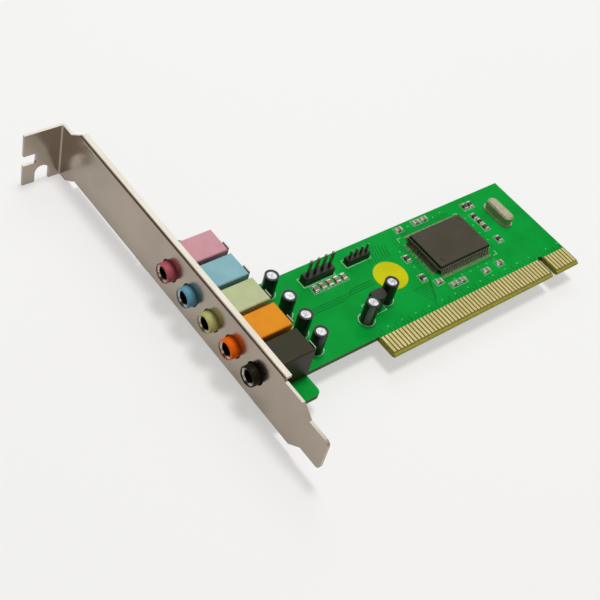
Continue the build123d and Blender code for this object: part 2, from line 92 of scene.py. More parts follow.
def shades(tree, factor, dark, light, low=0.35, high=0.65):
    """Colours from dark to light as the factor goes from low to high."""
    ramp = tree.nodes.new("ShaderNodeValToRGB")
    first, last = ramp.color_ramp.elements
    first.position, first.color = low, (*dark, 1)
    last.position, last.color = high, (*light, 1)
    tree.links.new(factor, ramp.inputs["Fac"])
    return ramp.outputs["Color"]


def spread(tree, factor, low, high):
    """Values from low to high as the factor goes over the middle of the noise."""
    span = tree.nodes.new("ShaderNodeMapRange")
    span.inputs["From Min"].default_value = 0.3
    span.inputs["From Max"].default_value = 0.7
    span.inputs["To Min"].default_value = low
    span.inputs["To Max"].default_value = high
    tree.links.new(factor, span.inputs["Value"])
    return span.outputs["Result"]


def relief(tree, shader, height, depth_mm, strength=1.0):
    """Bump of the given depth from a height between 0 and 1."""
    bump = tree.nodes.new("ShaderNodeBump")
    bump.inputs["Strength"].default_value = strength
    bump.inputs["Distance"].default_value = depth_mm * mm
    tree.links.new(height, bump.inputs["Height"])
    tree.links.new(bump.outputs["Normal"], shader.inputs["Normal"])


def mixed(tree, factor, first, second):
    """The first colour where the factor is 0, the second where it is 1."""
    mix = tree.nodes.new("ShaderNodeMix")
    mix.data_type = "RGBA"
    tree.links.new(factor, mix.inputs["Factor"])
    for socket, colour in ((mix.inputs["A"], first), (mix.inputs["B"], second)):
        if isinstance(colour, tuple):
            socket.default_value = (*colour, 1)
        else:
            tree.links.new(colour, socket)
    return mix.outputs["Result"]


def compared(tree, value, operation, limit):
    """1 where the value is greater or less than the limit, 0 elsewhere."""
    test = tree.nodes.new("ShaderNodeMath")
    test.operation = operation
    test.inputs[1].default_value = limit
    tree.links.new(value, test.inputs[0])
    return test.outputs["Value"]


def summed(tree, first, second):
    """Two values added, never over 1."""
    total = tree.nodes.new("ShaderNodeMath")
    total.operation = "ADD"
    total.use_clamp = True
    tree.links.new(first, total.inputs[0])
    tree.links.new(second, total.inputs[1])
    return total.outputs["Value"]


def parts_of(tree, vector):
    """The X, Y and Z of a Texture Coordinate output."""
    place = tree.nodes.new("ShaderNodeTexCoord")
    split = tree.nodes.new("ShaderNodeSeparateXYZ")
    tree.links.new(place.outputs[vector], split.inputs["Vector"])
    return split.outputs["X"], split.outputs["Y"], split.outputs["Z"]


def direction(azimuth, elevation):
    """A unit vector, azimuth from +X towards +Y, both in degrees."""
    a, e = math.radians(azimuth), math.radians(elevation)
    return Vector((math.cos(a) * math.cos(e), math.sin(a) * math.cos(e), math.sin(e)))


# Finishes

tab_margin = 0.6 * mm
face_limit = 0.97
# Width and rise of the chip's pale band: the parting line with a painted highlight of the lead shoulders.
parting_highlight_width = 0.2 * mm
parting_highlight_rise = 0.28 * mm
top_limit = 0.9


def satin_steel():
    """Plated sheet, drawn along its length, with faint blotches in the plating."""
    material, tree, shader = finish("satin_steel", metal=1.0)
    streaks = grain(tree, 3.0, stretch=(1, 0.06, 1), detail=4.0)
    blotches = grain(tree, 0.06, detail=2.0)
    colour = shades(tree, blotches, (0.35, 0.295, 0.24), (0.39, 0.33, 0.27))
    tree.links.new(colour, shader.inputs["Base Color"])
    tree.links.new(spread(tree, streaks, 0.18, 0.26), shader.inputs["Roughness"])
    relief(tree, shader, streaks, 0.0015)
    return material


def plated_steel():
    """Bright plating of the screws."""
    material, tree, shader = finish("plated_steel", metal=1.0)
    wear = grain(tree, 1.2)
    tree.links.new(shades(tree, wear, (0.55, 0.54, 0.51), (0.72, 0.71, 0.68)), shader.inputs["Base Color"])
    tree.links.new(spread(tree, wear, 0.22, 0.38), shader.inputs["Roughness"])
    return material


def solder_mask():
    """Green lacquer on both faces, bare laminate at the edges and between the contacts."""
    material, tree, shader = finish("solder_mask")
    shader.inputs["Specular IOR Level"].default_value = 0.03
    blotches = grain(tree, 0.12, detail=3.0)
    weave = grain(tree, 2.2, detail=2.0)
    lacquer = shades(tree, blotches, (0.002, 0.275, 0.030), (0.003, 0.33, 0.042))
    laminate = shades(tree, weave, (0.24, 0.225, 0.025), (0.34, 0.315, 0.05))
    sawn = shades(tree, weave, (0.045, 0.075, 0.018), (0.08, 0.12, 0.03))
    gaps = shades(tree, weave, (0.13, 0.10, 0.025), (0.20, 0.155, 0.045))
    up = parts_of(tree, "Normal")[2]
    steep = tree.nodes.new("ShaderNodeMath")
    steep.operation = "ABSOLUTE"
    tree.links.new(up, steep.inputs[0])
    x, y = parts_of(tree, "Object")[:2]
    in_contacts = tree.nodes.new("ShaderNodeMath")
    in_contacts.operation = "MULTIPLY"
    tree.links.new(compared(tree, y, "LESS_THAN", contacts_high.y), in_contacts.inputs[0])
    tree.links.new(compared(tree, x, "GREATER_THAN", contacts_low.x - tab_margin), in_contacts.inputs[1])
    face = mixed(tree, in_contacts.outputs["Value"], lacquer, gaps)
    edge = compared(tree, steep.outputs["Value"], "LESS_THAN", face_limit)
    rim = mixed(tree, in_contacts.outputs["Value"], sawn, laminate)
    tree.links.new(mixed(tree, edge, face, rim), shader.inputs["Base Color"])
    tree.links.new(spread(tree, blotches, 0.26, 0.36), shader.inputs["Roughness"])
    relief(tree, shader, weave, 0.006)
    return material


def gold_flash():
    """Thin gold on the edge contacts, rubbed along them by the slot."""
    material, tree, shader = finish("gold_flash", metal=1.0)
    rub = grain(tree, 2.5, stretch=(1, 0.12, 1), detail=3.0)
    tree.links.new(shades(tree, rub, (0.57, 0.50, 0.20), (0.69, 0.61, 0.28)), shader.inputs["Base Color"])
    tree.links.new(spread(tree, rub, 0.10, 0.17), shader.inputs["Roughness"])
    relief(tree, shader, rub, 0.004)
    return material


def moulded(name, dark, light, rough=0.4, grains=5.0, depth=0.006, gloss=0.25):
    """Moulded plastic with a fine grain and slight clouds in its colour."""
    material, tree, shader = finish(name)
    shader.inputs["Specular IOR Level"].default_value = gloss
    clouds = grain(tree, 0.25)
    skin = grain(tree, grains, detail=2.0)
    tree.links.new(shades(tree, clouds, dark, light), shader.inputs["Base Color"])
    tree.links.new(spread(tree, skin, rough - 0.05, rough + 0.05), shader.inputs["Roughness"])
    relief(tree, shader, skin, depth)
    return material


def chip_resin():
    """Moulded resin, dark on its drafted sides, with a pale band just above the leads: the trimmed parting
    line together with a painted highlight of the leads' shoulders.
    """
    material, tree, shader = finish("chip_resin")
    shader.inputs["Specular IOR Level"].default_value = 0.22
    clouds = grain(tree, 0.12)
    skin = grain(tree, 6.0, detail=2.0)
    top = shades(tree, clouds, (0.035, 0.027, 0.012), (0.047, 0.037, 0.019))
    side = shades(tree, clouds, (0.016, 0.014, 0.012), (0.024, 0.021, 0.018))
    # The pale band is partly the trimmed parting line and partly a painted highlight where the leads'
    # shoulders catch the light.
    line = shades(tree, clouds, (0.52, 0.50, 0.47), (0.64, 0.62, 0.58))
    z = parts_of(tree, "Object")[2]
    up = parts_of(tree, "Normal")[2]
    parting_highlight_z = (chip_low.z + chip_high.z) / 2 + parting_highlight_rise
    flat = compared(tree, up, "GREATER_THAN", top_limit)
    over = compared(tree, z, "GREATER_THAN", parting_highlight_z - parting_highlight_width / 2)
    under = compared(tree, z, "LESS_THAN", parting_highlight_z + parting_highlight_width / 2)
    parting_highlight_band = tree.nodes.new("ShaderNodeMath")
    parting_highlight_band.operation = "MULTIPLY"
    tree.links.new(over, parting_highlight_band.inputs[0])
    tree.links.new(under, parting_highlight_band.inputs[1])
    sides = mixed(tree, parting_highlight_band.outputs["Value"], side, line)
    tree.links.new(mixed(tree, flat, sides, top), shader.inputs["Base Color"])
    tree.links.new(spread(tree, skin, 0.38, 0.5), shader.inputs["Roughness"])
    relief(tree, shader, skin, 0.006)
    return material


def jack_moulding(name, block, nose):
    """Plastic of a jack as two copies of one colour: the block in its own colour, and the nose in front of
    the bracket painted deeper and darker as painted shade.
    """
    material, tree, shader = finish(name)
    shader.inputs["Specular IOR Level"].default_value = 0.12
    clouds = grain(tree, 0.25)
    skin = grain(tree, 5.0, detail=2.0)
    pale = shades(tree, clouds, tuple(0.95 * part for part in block), tuple(1.05 * part for part in block))
    # Painted shade: the nose's colour is a darker, deeper copy of the block's, standing in for the bracket's
    # shadow.
    nose_painted_shade = shades(tree, clouds, tuple(0.92 * part for part in nose), tuple(1.08 * part for part in nose))
    x = parts_of(tree, "Object")[0]
    in_front = compared(tree, x, "LESS_THAN", in_plate)
    tree.links.new(mixed(tree, in_front, pale, nose_painted_shade), shader.inputs["Base Color"])
    tree.links.new(spread(tree, skin, 0.34, 0.46), shader.inputs["Roughness"])
    relief(tree, shader, skin, 0.006)
    return material


def nickel(name, dark, light):
    """Rolled strip of the jack contacts."""
    material, tree, shader = finish(name, metal=1.0)
    streaks = grain(tree, 2.0, stretch=(0.2, 1, 1))
    tree.links.new(shades(tree, streaks, dark, light), shader.inputs["Base Color"])
    tree.links.new(spread(tree, streaks, 0.12, 0.24), shader.inputs["Roughness"])
    return material


def bare_aluminium():
    """Top of a capacitor can."""
    material, tree, shader = finish("bare_aluminium", metal=1.0)
    turned = grain(tree, 0.9, detail=3.0)
    tree.links.new(shades(tree, turned, (0.30, 0.29, 0.28), (0.52, 0.51, 0.50)), shader.inputs["Base Color"])
    tree.links.new(spread(tree, turned, 0.34, 0.52), shader.inputs["Roughness"])
    return material


def tinned(name, dark, light, rough=0.3, metal=1.0):
    """Tin or solder, dull in places."""
    material, tree, shader = finish(name, metal=metal)
    dull = grain(tree, 1.6)
    tree.links.new(shades(tree, dull, dark, light), shader.inputs["Base Color"])
    tree.links.new(spread(tree, dull, rough - 0.08, rough + 0.1), shader.inputs["Roughness"])
    relief(tree, shader, dull, 0.006)
    return material


def label_paper():
    """Yellow satin label."""
    material, tree, shader = finish("label_paper")
    shader.inputs["Specular IOR Level"].default_value = 0.06
    fibres = grain(tree, 3.0, detail=4.0)
    clouds = grain(tree, 0.18)
    yellow = shades(tree, clouds, (0.53, 0.50, 0.002), (0.60, 0.57, 0.003))
    tree.links.new(yellow, shader.inputs["Base Color"])
    tree.links.new(spread(tree, fibres, 0.42, 0.55), shader.inputs["Roughness"])
    relief(tree, shader, fibres, 0.004)
    return material


def dress_nodes():
    """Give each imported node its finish."""
    black = moulded("black_plastic", (0.012, 0.011, 0.006), (0.022, 0.020, 0.012), rough=0.42)
    tin = tinned("tinned_wire", (0.56, 0.55, 0.52), (0.78, 0.77, 0.74))
    bright_strip = nickel("nickel", (0.36, 0.33, 0.28), (0.48, 0.44, 0.38))
    dull_strip = nickel("dull_nickel", (0.16, 0.145, 0.12), (0.24, 0.22, 0.19))
    gold = gold_flash()
    finishes = {
        "bracket": satin_steel(),
        "bracket_screws": plated_steel(),
        "circuit_board": solder_mask(),
        "front_contacts": gold,
        "back_contacts": gold,
        "regulator_body": black,
        "regulator_leads": tin,
        "audio_header_base": black,
        "small_header_base": black,
        "crystal_leads": tin,
        # The header pins' tin is painted dark, a painted reflection of dark surroundings; the small header's
        # pins share it.
        "audio_header_pins": tinned("pins_painted_dark_reflection", (0.10, 0.10, 0.08), (0.20, 0.19, 0.15)),
        "chip_body": chip_resin(),
        "chip_leads": tinned("chip_tin", (0.24, 0.185, 0.145), (0.35, 0.275, 0.225)),
        "crystal_can": tinned("crystal_plate", (0.33, 0.30, 0.195), (0.42, 0.385, 0.26), 0.36, metal=0.65),
        "sticker": label_paper(),
        "smd_capacitors": moulded("ceramic_body", (0.20, 0.13, 0.08), (0.30, 0.21, 0.14), rough=0.5),
        "smd_resistors": moulded("resistor_glaze", (0.035, 0.020, 0.016), (0.06, 0.04, 0.03), rough=0.35),
        "smd_ends": tinned("end_caps", (0.36, 0.36, 0.30), (0.54, 0.54, 0.47)),
    }
    finishes["small_header_pins"] = finishes["audio_header_pins"]
    # For each jack: the block colour, then the nose colour, which is painted darker and deeper as painted
    # shade in front of the bracket.
    plastics = {
        "black": ((0.031, 0.025, 0.011), (0.012, 0.009, 0.004)),
        "orange": ((0.72, 0.25, 0.002), (0.89, 0.127, 0.002)),
        "green": ((0.475, 0.508, 0.275), (0.478, 0.477, 0.172)),
        "blue": ((0.234, 0.433, 0.47), (0.127, 0.32, 0.44)),
        "pink": ((0.586, 0.285, 0.315), (0.465, 0.101, 0.128)),
    }
    for colour in jack_colours:
        finishes[f"{colour}_jack_housing"] = jack_moulding(f"{colour}_moulding", *plastics[colour])
        finishes[f"{colour}_jack_bush"] = bright_strip
        finishes[f"{colour}_jack_ring_spring"] = bright_strip
        finishes[f"{colour}_jack_tip_spring"] = dull_strip
    can_top = bare_aluminium()
    sleeve = moulded("shrink_sleeve", (0.010, 0.010, 0.010), (0.018, 0.017, 0.017), rough=0.24)
    for capacitor in capacitors:
        finishes[f"{capacitor}_can"] = can_top
        finishes[f"{capacitor}_sleeve"] = sleeve
    for name, node in nodes.items():
        node.data.materials.clear()
        node.data.materials.append(finishes[name])


dress_nodes()


# Round faces shade as round: the welded facets are split again at true edges

weld_reach = 0.0005 * mm
true_edge_angle = 32


def shade_rounds():
    """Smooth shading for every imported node, with its true edges kept sharp."""
    for node in nodes.values():
        node.data.polygons.foreach_set("use_smooth", [True] * len(node.data.polygons))
        weld = node.modifiers.new("weld", "WELD")
        weld.merge_threshold = weld_reach
        split = node.modifiers.new("true_edges", "EDGE_SPLIT")
        split.split_angle = math.radians(true_edge_angle)


shade_rounds()


# Modelling by hand: each shape starts as a primitive and is worked in edit mode

same_place = 0.002 * mm


def deselected():
    """Start from an empty selection."""
    bpy.ops.object.select_all(action="DESELECT")


def keep(piece, name, material):
    """Name a finished piece, give it its finish and let it ride on the card."""
    piece.name = name
    piece.data.name = name
    piece.data.materials.clear()
    piece.data.materials.append(material)
    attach(piece, "root")


def joined(pieces):
    """One mesh out of several."""
    deselected()
    for piece in pieces:
        piece.select_set(True)
    bpy.context.view_layer.objects.active = pieces[0]
    if len(pieces) > 1:
        bpy.ops.object.join()
    return pieces[0]


def stamped(master, places):
    """A modelled shape of unit size copied to each place at its own size, upside down where its height is
    negative, all as one mesh."""
    copies = []
    for middle, size, turn in places:
        copy = master.copy()
        copy.data = master.data.copy()
        copy.data.transform(Matrix.LocRotScale(middle, Quaternion((0, 0, 1), turn), size))
        if size.z < 0:
            copy.data.flip_normals()
        bpy.context.scene.collection.objects.link(copy)
        copies.append(copy)
    bpy.data.objects.remove(master)
    return joined(copies)


def faces_by(test):
    """In edit mode, select only the faces whose middle and normal pass the test."""
    bpy.ops.mesh.select_mode(type="FACE")
    bpy.ops.mesh.select_all(action="DESELECT")
    bpy.ops.object.mode_set(mode="OBJECT")
    for face in bpy.context.object.data.polygons:
        face.select = test(face.center, face.normal)
    bpy.ops.object.mode_set(mode="EDIT")


def drawn_line(points, width, height, level=component_z):
    """A flat raised line along points on a face of the board, as a pen or a plotter would draw it."""
    deselected()
    bpy.ops.mesh.primitive_plane_add(size=width, location=(*points[0], level))
    bpy.ops.object.transform_apply(location=True, rotation=True, scale=True)
    bpy.ops.object.mode_set(mode="EDIT")
    bpy.ops.mesh.select_mode(type="VERT")
    bpy.ops.mesh.select_all(action="SELECT")
    bpy.ops.mesh.merge(type="CENTER")
    for here, there in zip(points, points[1:]):
        step = (there[0] - here[0], there[1] - here[1], 0)
        bpy.ops.mesh.extrude_vertices_move(TRANSFORM_OT_translate={"value": step})
    bpy.ops.object.mode_set(mode="OBJECT")
    bpy.ops.object.convert(target="CURVE")
    line = bpy.context.object
    line.data.bevel_depth = width / 2
    line.data.bevel_resolution = 1
    line.data.use_fill_caps = True
    bpy.ops.object.convert(target="MESH")
    bpy.ops.object.mode_set(mode="EDIT")
    bpy.ops.mesh.select_all(action="SELECT")
    bpy.ops.transform.resize(value=(1, 1, 2 * height / width), center_override=(0, 0, level))
    bpy.ops.object.mode_set(mode="OBJECT")
    return bpy.context.object


def frame_points(low, high):
    """The four corners of a box on the board, back to the first."""
    return [(low[0], low[1]), (high[0], low[1]), (high[0], high[1]), (low[0], high[1]), (low[0], low[1])]


def round_points(middle, radius, first=0, last=360, steps=28):
    """Points along an arc on the board, in degrees from +X."""
    angles = [math.radians(first + (last - first) * step / steps) for step in range(steps + 1)]
    return [(middle[0] + radius * math.cos(a), middle[1] + radius * math.sin(a)) for a in angles]


def shells(name):
    """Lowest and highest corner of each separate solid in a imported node."""
    parent = {}

    def root(key):
        """The first key of the group that this one was joined to."""
        while parent[key] != key:
            key = parent[key]
        return key

    mesh = nodes[name].data
    keys = [tuple(round(value / same_place) for value in vertex.co) for vertex in mesh.vertices]
    for key in keys:
        parent.setdefault(key, key)
    for face in mesh.polygons:
        first = root(keys[face.vertices[0]])
        for corner in face.vertices[1:]:
            parent[root(keys[corner])] = first
    groups = {}
    for key, vertex in zip(keys, mesh.vertices):
        groups.setdefault(root(key), []).append(vertex.co)
    found = []
    for points in groups.values():
        low = Vector([min(point[axis] for point in points) for axis in range(3)])
        high = Vector([max(point[axis] for point in points) for axis in range(3)])
        found.append((low, high, points))
    return found


# Solder

solder_round = 0.4 * mm
solder_drop = 0.85 * mm
lead_spread = 1.2 * mm
lead_depth = 0.6 * mm
fillet_margin = 0.3 * mm
fillet_height = 0.3 * mm


def solder_cone():
    """Unit solder joint: a disc drawn down in two steps to a narrow neck, hollow in profile."""
    deselected()
    bpy.ops.mesh.primitive_circle_add(vertices=14, radius=1, fill_type="NGON")
    bpy.ops.object.mode_set(mode="EDIT")
    bpy.ops.mesh.select_all(action="SELECT")
    for drop, narrowing in ((0.12, 0.92), (0.28, 0.62), (0.60, 0.70)):
        bpy.ops.mesh.extrude_region_move(TRANSFORM_OT_translate={"value": (0, 0, -drop)})
        bpy.ops.transform.resize(value=(narrowing, narrowing, 1))
    bpy.ops.mesh.select_all(action="SELECT")
    bpy.ops.mesh.normals_make_consistent(inside=False)
    bpy.ops.object.mode_set(mode="OBJECT")
    bpy.ops.object.shade_smooth()
    return bpy.context.object


def lead_places(name):
    """Middle and half size of each lead of a node where it comes out under the board."""
    places = []
    for low, high, points in shells(name):
        groups = []
        for point in points:
            if point.z > solder_z - lead_depth:
                continue
            near = [group for group in groups if (group[0] - point).to_2d().length < lead_spread]
            if near:
                near[0].append(point)
            else:
                groups.append([point])
        for group in groups:
            left, right = min(point.x for point in group), max(point.x for point in group)
            front, back = min(point.y for point in group), max(point.y for point in group)
            places.append(((left + right) / 2, (front + back) / 2, (right - left) / 2, (back - front) / 2))
    return places


def solder_joints(material):
    """A joint round every lead on the solder face."""
    leaded = ["regulator_leads", "audio_header_pins", "small_header_pins", "crystal_leads"]
    leaded += [f"{capacitor}_can" for capacitor in capacitors]
    for colour in jack_colours:
        leaded += [f"{colour}_jack_{piece}" for piece in ("bush", "tip_spring", "ring_spring")]
    places = []
    for name in leaded:
        for x, y, half_x, half_y in lead_places(name):
            size = Vector((half_x + solder_round, half_y + solder_round, solder_drop))
            places.append((Vector((x, y, solder_z)), size, 0))
    keep(stamped(solder_cone(), places), "solder_joints", material)


def solder_wedge():
    """Unit solder fillet: a block drawn in at the top, with its edges rounded."""
    deselected()
    bpy.ops.mesh.primitive_cube_add(size=1, location=(0, 0, 0.5))
    bpy.ops.object.transform_apply(location=True, rotation=True, scale=True)
    bpy.ops.object.mode_set(mode="EDIT")
    faces_by(lambda middle, normal: normal.z > 0.5)
    bpy.ops.transform.resize(value=(0.62, 0.72, 1))
    bpy.ops.mesh.select_all(action="SELECT")
    bpy.ops.mesh.bevel(offset=0.12, segments=2, affect="EDGES")
    bpy.ops.object.mode_set(mode="OBJECT")
    bpy.ops.object.shade_smooth_by_angle(angle=math.radians(50))
    return bpy.context.object


def solder_fillets(material):
    """Solder that rises from its pad to each end of the small chip parts."""
    places = []
    for low, high, points in shells("smd_ends"):
        size = Vector((high.x - low.x + 2 * fillet_margin, high.y - low.y + 2 * fillet_margin, fillet_height))
        places.append((Vector(((low.x + high.x) / 2, (low.y + high.y) / 2, component_z)), size, 0))
    keep(stamped(solder_wedge(), places), "solder_fillets", material)


# Pads under the feet of the chip, and the tracks that leave them

foot_width = 0.3 * mm
foot_overhang = 0.5 * mm
pad_length = 1.1 * mm
pad_height = 0.05 * mm
track_width = 0.2 * mm
track_height = 0.02 * mm
track_pitch = 0.76 * mm
stub_lengths = [length * mm for length in (0.9, 1.7, 1.2, 2.3)]
bend_run = 1.6 * mm
bundle_count = 9
bundle_rise = 2.4 * mm
slant_count = 8
slant_pitch = 1.05 * mm
slant_clear = 0.6 * mm
slant_rise = 6.2 * mm
slant_share = 0.3
run_count = 3
run_step = 0.8 * mm
run_clear = 6.8 * mm
run_start = -24.5 * mm
under_first = 14
under_count = 10
under_rise = 13.2 * mm
under_end = -25.5 * mm
via_radius = 0.34 * mm
via_height = 0.06 * mm
feet_to_a_via = 5
contacts_to_a_via = 4


def chip_feet():
    """Middle of each foot's toe, and the way it points out of the chip."""
    feet = []
    for low, high, points in shells("chip_leads"):
        middle = (low + high) / 2
        if low.x < chip_low.x - foot_overhang:
            feet.append((Vector((low.x, middle.y, component_z)), Vector((-1, 0, 0))))
        elif high.x > chip_high.x + foot_overhang:
            feet.append((Vector((high.x, middle.y, component_z)), Vector((1, 0, 0))))
        elif low.y < chip_low.y - foot_overhang:
            feet.append((Vector((middle.x, low.y, component_z)), Vector((0, -1, 0))))
        else:
            feet.append((Vector((middle.x, high.y, component_z)), Vector((0, 1, 0))))
    return feet


def unit_bar():
    """Unit flat bar, drawn in a little at its top."""
    deselected()
    bpy.ops.mesh.primitive_cube_add(size=1, location=(0, 0, 0.5))
    bpy.ops.object.transform_apply(location=True, rotation=True, scale=True)
    bpy.ops.object.mode_set(mode="EDIT")
    faces_by(lambda middle, normal: normal.z > 0.5)
    bpy.ops.transform.resize(value=(0.94, 0.8, 1))
    bpy.ops.object.mode_set(mode="OBJECT")
    return bpy.context.object


def unit_via():
    """Unit via: a round land with a sunk middle."""
    deselected()
    bpy.ops.mesh.primitive_circle_add(vertices=12, radius=1, fill_type="NGON")
    bpy.ops.object.mode_set(mode="EDIT")
    bpy.ops.mesh.select_all(action="SELECT")
    bpy.ops.mesh.extrude_region_move(TRANSFORM_OT_translate={"value": (0, 0, 1)})
    bpy.ops.mesh.inset(thickness=0.45)
    bpy.ops.transform.translate(value=(0, 0, -0.7))
    bpy.ops.mesh.select_all(action="SELECT")
    bpy.ops.mesh.normals_make_consistent(inside=False)
    bpy.ops.object.mode_set(mode="OBJECT")
    return bpy.context.object


def chip_pads(material):
    """A tinned land under each foot, longer than the foot."""
    places = []
    for toe, out in chip_feet():
        size = Vector((pad_length, foot_width, pad_height))
        places.append((toe - out * pad_length / 6, size, math.atan2(out.y, out.x)))
    keep(stamped(unit_bar(), places), "chip_pads", material)


def short_stubs():
    """Tracks that leave the chip's feet and the edge contacts, each as long as its turn in the round."""
    stubs = []
    for number, (toe, out) in enumerate(chip_feet()):
        length = stub_lengths[number % len(stub_lengths)]
        size = Vector((length, track_width, track_height))
        stubs.append((toe + out * (pad_length / 3 + length / 2), size, math.atan2(out.y, out.x)))
    for name, level, way in (("front_contacts", component_z, 1), ("back_contacts", solder_z, -1)):
        for number, (low, high, points) in enumerate(shells(name)):
            length = stub_lengths[number % len(stub_lengths)]
            size = Vector((length, track_width, way * track_height))
            stubs.append((Vector(((low.x + high.x) / 2, high.y + length / 2, level)), size, math.pi / 2))
    return stamped(unit_bar(), stubs)


def contact_bundle():
    """Tracks from beside the label along the board, then up to the chip."""
    end_x = feet_low.x - pad_length
    lines = []
    for number in range(bundle_count):
        y = contacts_high.y + bundle_rise + number * track_pitch
        bend_x = end_x - bend_run - (bundle_count - number) * track_pitch / 2
        start_x = label_high.x - number * track_pitch / 2
        points = [(start_x, y), (bend_x, y), (bend_x + bend_run, y + bend_run)]
        lines.append(drawn_line(points, track_width, track_height))
    return lines


def slanted_bundle():
    """Tracks from over the label slantwise to the board's far edge."""
    lines = []
    for number in range(slant_count):
        x = label_low.x + (label_high.x - label_low.x) / 4 + number * slant_pitch
        y = label_high.y + slant_clear
        rise = slant_rise - number * track_pitch / 3
        lines.append(drawn_line([(x, y), (x + rise * slant_share, y + rise)], track_width, track_height))
    return lines


def long_runs():
    """Tracks across the board from the jacks to the label."""
    lines = []
    for number in range(run_count):
        y = header_low.y - run_clear - number * track_pitch
        bend_x = header_high.x - number * track_pitch
        points = [(run_start, y - run_step), (bend_x, y - run_step), (bend_x + run_step, y)]
        points.append((label_low.x - track_pitch, y))
        lines.append(drawn_line(points, track_width, track_height))
    return lines


def under_runs():
    """Tracks on the solder face, from every other contact up and then along to the row of capacitors."""
    row = sorted(shells("back_contacts"), key=lambda shell: shell[0].x)
    lines = []
    for number, (low, high, corners) in enumerate(row[under_first:under_first + 2 * under_count:2]):
        x = (low.x + high.x) / 2
        y = high.y + under_rise + number * track_pitch
        end_x = under_end + number * track_pitch / 2
        points = [(x, high.y), (x, y - bend_run), (x - bend_run, y), (end_x, y)]
        lines.append(drawn_line(points, track_width, track_height, level=solder_z))
    return lines


def tracks(material):
    """All the tracks as one mesh."""
    lines = [short_stubs()] + contact_bundle() + slanted_bundle() + long_runs() + under_runs()
    keep(joined(lines), "tracks", material)


def vias(material):
    """Lands where tracks change sides: past the chip's feet, over the contacts and along the long runs."""
    spots = []
    for number, (toe, out) in enumerate(chip_feet()):
        if number % feet_to_a_via == 0:
            length = stub_lengths[number % len(stub_lengths)]
            spots.append(toe + out * (pad_length / 3 + length + via_radius))
    for number, (low, high, points) in enumerate(shells("front_contacts")):
        if number % contacts_to_a_via == 1:
            length = stub_lengths[number % len(stub_lengths)]
            spots.append(Vector(((low.x + high.x) / 2, high.y + length + via_radius, component_z)))
    for number in range(run_count):
        y = header_low.y - run_clear - run_step - number * track_pitch
        spots.append(Vector((run_start, y, component_z)))
    land = Vector((via_radius, via_radius, via_height))
    places = []
    for spot in spots:
        places.append((spot, land, 0))
        places.append((Vector((spot.x, spot.y, solder_z)), land * Vector((1, 1, -1)), 0))
    keep(stamped(unit_via(), places), "vias", material)


# Printed legend: frames and rings only

ink_width = 0.22 * mm
fine_ink = 0.13 * mm
ink_height = 0.02 * mm
frame_margin = 0.45 * mm
ring_margin = 0.35 * mm
mark_length = 1.4 * mm
small_part_length = 1.3 * mm


def frame_round(corners):
    """The corners of a frame on the board, a margin outside the given corners."""
    left = min(corner.x for corner in corners) - frame_margin
    right = max(corner.x for corner in corners) + frame_margin
    front = min(corner.y for corner in corners) - frame_margin
    back = max(corner.y for corner in corners) + frame_margin
    return frame_points((left, front), (right, back))


def small_part_frames():
    """A frame round every small chip part and its two ends."""
    ends = shells("smd_ends")
    lines = []
    for low, high, points in shells("smd_capacitors") + shells("smd_resistors"):
        middle = (low + high) / 2
        near = [end for end in ends if ((end[0] + end[1]) / 2 - middle).length < small_part_length]
        corners = [corner for end in near for corner in end[:2]]
        lines.append(drawn_line(frame_round(corners), fine_ink, ink_height))
    return lines


def capacitor_rings():
    """A ring round the foot of every can."""
    lines = []
    for capacitor in capacitors:
        low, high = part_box(f"{capacitor}_sleeve")
        middle = (low + high) / 2
        radius = (high.x - low.x) / 2 + ring_margin
        lines.append(drawn_line(round_points(middle, radius), ink_width, ink_height))
    return lines


def chip_corners():
    """Angle marks at the four corners of the chip's feet."""
    lines = []
    for x, side in ((feet_low.x, -1), (feet_high.x, 1)):
        for y, way in ((feet_low.y, -1), (feet_high.y, 1)):
            corner = (x + side * frame_margin, y + way * frame_margin)
            start = (corner[0], corner[1] - way * mark_length)
            end = (corner[0] - side * mark_length, corner[1])
            lines.append(drawn_line([start, corner, end], ink_width, ink_height))
    return lines


def legend(material):
    """All the printed lines as one mesh."""
    lines = small_part_frames() + capacitor_rings() + chip_corners()
    for name in ("audio_header_base", "small_header_base", "regulator_body"):
        lines.append(drawn_line(frame_round(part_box(name)), ink_width, ink_height))
    keep(joined(lines), "legend", material)


# Rounded inner corner of the bracket's flange

bend_round = 0.55 * mm
end_clearance = 0.05 * mm


def flange_bend(material):
    """The sheet's inner bend: a hollow profile drawn in the corner and raised along it."""
    bracket_low, bracket_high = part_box("bracket")
    inner_y = bracket_high.y - sheet
    points = round_points((plate_x - bend_round, inner_y - bend_round), bend_round, last=90, steps=8)
    points.append((plate_x, inner_y))
    deselected()
    bpy.ops.mesh.primitive_plane_add(size=bend_round, location=(*points[0], bracket_low.z + end_clearance))
    bpy.ops.object.transform_apply(location=True, rotation=True, scale=True)
    bpy.ops.object.mode_set(mode="EDIT")
    bpy.ops.mesh.select_mode(type="VERT")
    bpy.ops.mesh.select_all(action="SELECT")
    bpy.ops.mesh.merge(type="CENTER")
    for here, there in zip(points, points[1:]):
        step = (there[0] - here[0], there[1] - here[1], 0)
        bpy.ops.mesh.extrude_vertices_move(TRANSFORM_OT_translate={"value": step})
    bpy.ops.mesh.select_all(action="SELECT")
    bpy.ops.mesh.edge_face_add()
    height = flange_width - 2 * end_clearance
    bpy.ops.mesh.extrude_region_move(TRANSFORM_OT_translate={"value": (0, 0, height)})
    bpy.ops.mesh.select_all(action="SELECT")
    bpy.ops.mesh.normals_make_consistent(inside=False)
    bpy.ops.object.mode_set(mode="OBJECT")
    bpy.ops.object.shade_smooth_by_angle(angle=math.radians(30))
    keep(bpy.context.object, "flange_bend", material)


# Sleeve stripes and vent scores

stripe_facings = (40, 40, 40, 40, 225, 20)
stripe_angle = 26
stripe_share = 0.96
stripe_height = 0.02 * mm
stripe_thickness = 0.03 * mm
score_share = 0.5
score_height = 0.03 * mm
score_turn = 0.6


